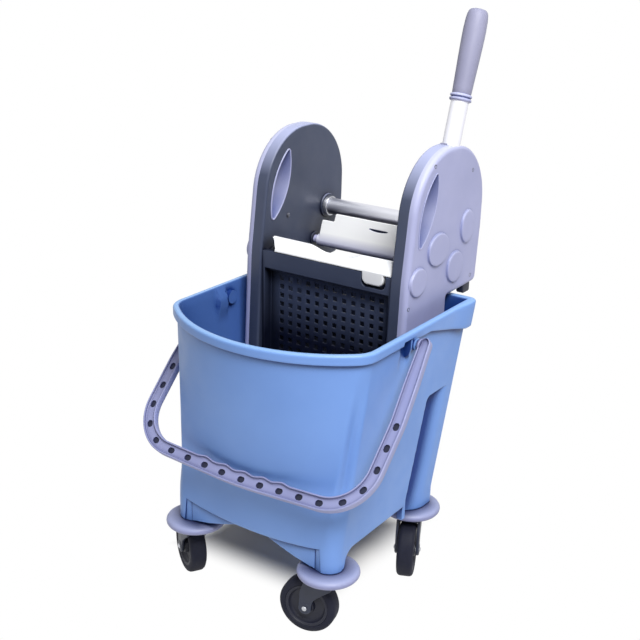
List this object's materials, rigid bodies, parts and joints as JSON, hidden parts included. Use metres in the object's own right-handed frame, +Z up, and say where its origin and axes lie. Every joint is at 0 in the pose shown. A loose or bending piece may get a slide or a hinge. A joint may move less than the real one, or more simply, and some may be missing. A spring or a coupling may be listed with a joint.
{
  "type": "mop bucket trolley",
  "caption": "Wheeled mop bucket with a bail handle and a lift-off wringer whose side lever closes two jaws over a mop.",
  "frame": {"origin": "on the floor, under the middle of the whole object's box", "axes": "+Z up, -Y towards the front of the bucket, +X to the right of someone facing the front"},
  "size_m": [0.381, 0.3996, 0.7921],
  "materials": {
    "blue_plastic": "moulded, slight sheen",
    "pale_plastic": "moulded, fine grain",
    "dark_plastic": "moulded, fine grain",
    "white_plastic": "smooth",
    "black_plastic": "moulded",
    "fork_metal": "pressed, dark coat",
    "tyre_rubber": "moulded",
    "steel": "plain",
    "chrome_tube": "polished",
    "aluminium_tube": "drawn"
  },
  "bodies": {
    "bucket": {"bucket": "blue_plastic", "bumper_front_left": "pale_plastic", "bumper_front_right": "pale_plastic", "bumper_rear_left": "pale_plastic", "bumper_rear_right": "pale_plastic", "caster_stem_front_left": "steel", "caster_stem_front_right": "steel", "caster_stem_rear_left": "steel", "caster_stem_rear_right": "steel"},
    "caster_front_left": {"caster_fork_front_left": "fork_metal", "caster_axle_front_left": "steel"},
    "wheel_front_left": {"caster_wheel_front_left": "black_plastic", "caster_tyre_front_left": "tyre_rubber"},
    "caster_front_right": {"caster_fork_front_right": "fork_metal", "caster_axle_front_right": "steel"},
    "wheel_front_right": {"caster_wheel_front_right": "black_plastic", "caster_tyre_front_right": "tyre_rubber"},
    "caster_rear_left": {"caster_fork_rear_left": "fork_metal", "caster_axle_rear_left": "steel"},
    "wheel_rear_left": {"caster_wheel_rear_left": "black_plastic", "caster_tyre_rear_left": "tyre_rubber"},
    "caster_rear_right": {"caster_fork_rear_right": "fork_metal", "caster_axle_rear_right": "steel"},
    "wheel_rear_right": {"caster_wheel_rear_right": "black_plastic", "caster_tyre_rear_right": "tyre_rubber"},
    "bail": {"bail": "pale_plastic", "bail_pin_left": "steel", "bail_pin_right": "steel"},
    "wringer": {"side_frame_left": "dark_plastic", "side_frame_right": "dark_plastic", "side_cover_left": "pale_plastic", "side_cover_right": "pale_plastic", "cover_screws_left": "steel", "cover_screws_right": "steel", "front_panel": "dark_plastic", "rear_panel": "dark_plastic", "sieve_floor": "dark_plastic", "tie_tube": "chrome_tube", "tie_flange_left": "steel", "tie_flange_right": "steel", "jaw_bushes": "white_plastic", "idler_pin": "steel", "lever_pivot_pin": "steel"},
    "lever": {"lever_hub": "black_plastic", "return_spring": "steel", "lever_tube": "aluminium_tube", "lever_grip": "pale_plastic", "grip_collar": "pale_plastic"},
    "idler": {"idler_gear": "black_plastic"},
    "rear_jaw": {"rear_jaw": "white_plastic", "rear_pinion": "black_plastic"},
    "front_jaw": {"front_jaw": "white_plastic", "front_pinion": "black_plastic"}
  },
  "joints": [
    {"name": "swivel_front_left", "type": "hinge", "parent": "bucket", "child": "caster_front_left", "pos_m": [-0.113, -0.14075, 0.086], "axis": [0, 0, 1], "continuous": true},
    {"name": "roll_front_left", "type": "hinge", "parent": "caster_front_left", "child": "wheel_front_left", "pos_m": [-0.13522, -0.12724, 0.04], "axis": [-0.5195, -0.8545, 0], "continuous": true},
    {"name": "swivel_front_right", "type": "hinge", "parent": "bucket", "child": "caster_front_right", "pos_m": [0.113, -0.14075, 0.086], "axis": [0, 0, 1], "continuous": true},
    {"name": "roll_front_right", "type": "hinge", "parent": "caster_front_right", "child": "wheel_front_right", "pos_m": [0.08753, -0.14598, 0.04], "axis": [0.2011, -0.9796, 0], "continuous": true},
    {"name": "swivel_rear_left", "type": "hinge", "parent": "bucket", "child": "caster_rear_left", "pos_m": [-0.113, 0.07325, 0.086], "axis": [0, 0, 1], "continuous": true},
    {"name": "roll_rear_left", "type": "hinge", "parent": "caster_rear_left", "child": "wheel_rear_left", "pos_m": [-0.13743, 0.06436, 0.04], "axis": [0.342, -0.9397, 0], "continuous": true},
    {"name": "swivel_rear_right", "type": "hinge", "parent": "bucket", "child": "caster_rear_right", "pos_m": [0.113, 0.07325, 0.086], "axis": [0, 0, 1], "continuous": true},
    {"name": "roll_rear_right", "type": "hinge", "parent": "caster_rear_right", "child": "wheel_rear_right", "pos_m": [0.12358, 0.0495, 0.04], "axis": [0.9135, 0.4067, 0], "continuous": true},
    {"name": "bail_swing", "type": "hinge", "parent": "bucket", "child": "bail", "pos_m": [0, -0.01875, 0.387], "axis": [-1, 0, 0], "range_deg": [0, 130]},
    {"name": "wringer_lift", "type": "slide", "parent": "bucket", "child": "wringer", "axis": [0, 0, 1], "range_m": [0, 0.32]},
    {"name": "lever_press", "type": "hinge", "parent": "wringer", "child": "lever", "pos_m": [0.1185, 0.07525, 0.487], "axis": [-1, 0, 0], "range_deg": [0, 72], "stiffness_Nm_per_rad": 1, "springref_deg": -34.38},
    {"name": "idler_turn", "type": "hinge", "parent": "wringer", "child": "idler", "pos_m": [0.1144, 0.06363, 0.42814], "axis": [1, 0, 0], "range_deg": [0, 144.1]},
    {"name": "rear_jaw_close", "type": "hinge", "parent": "wringer", "child": "rear_jaw", "pos_m": [0, 0.12725, 0.448], "axis": [1, 0, 0], "range_deg": [0, 115.3]},
    {"name": "front_jaw_close", "type": "hinge", "parent": "wringer", "child": "front_jaw", "pos_m": [0, 0.02325, 0.448], "axis": [-1, 0, 0], "range_deg": [0, 115.3]}
  ],
  "couplings": [
    {"joint": "idler_turn", "follows": "lever_press", "ratio": 2},
    {"joint": "rear_jaw_close", "follows": "lever_press", "ratio": 1.6},
    {"joint": "front_jaw_close", "follows": "lever_press", "ratio": 1.6}
  ]
}
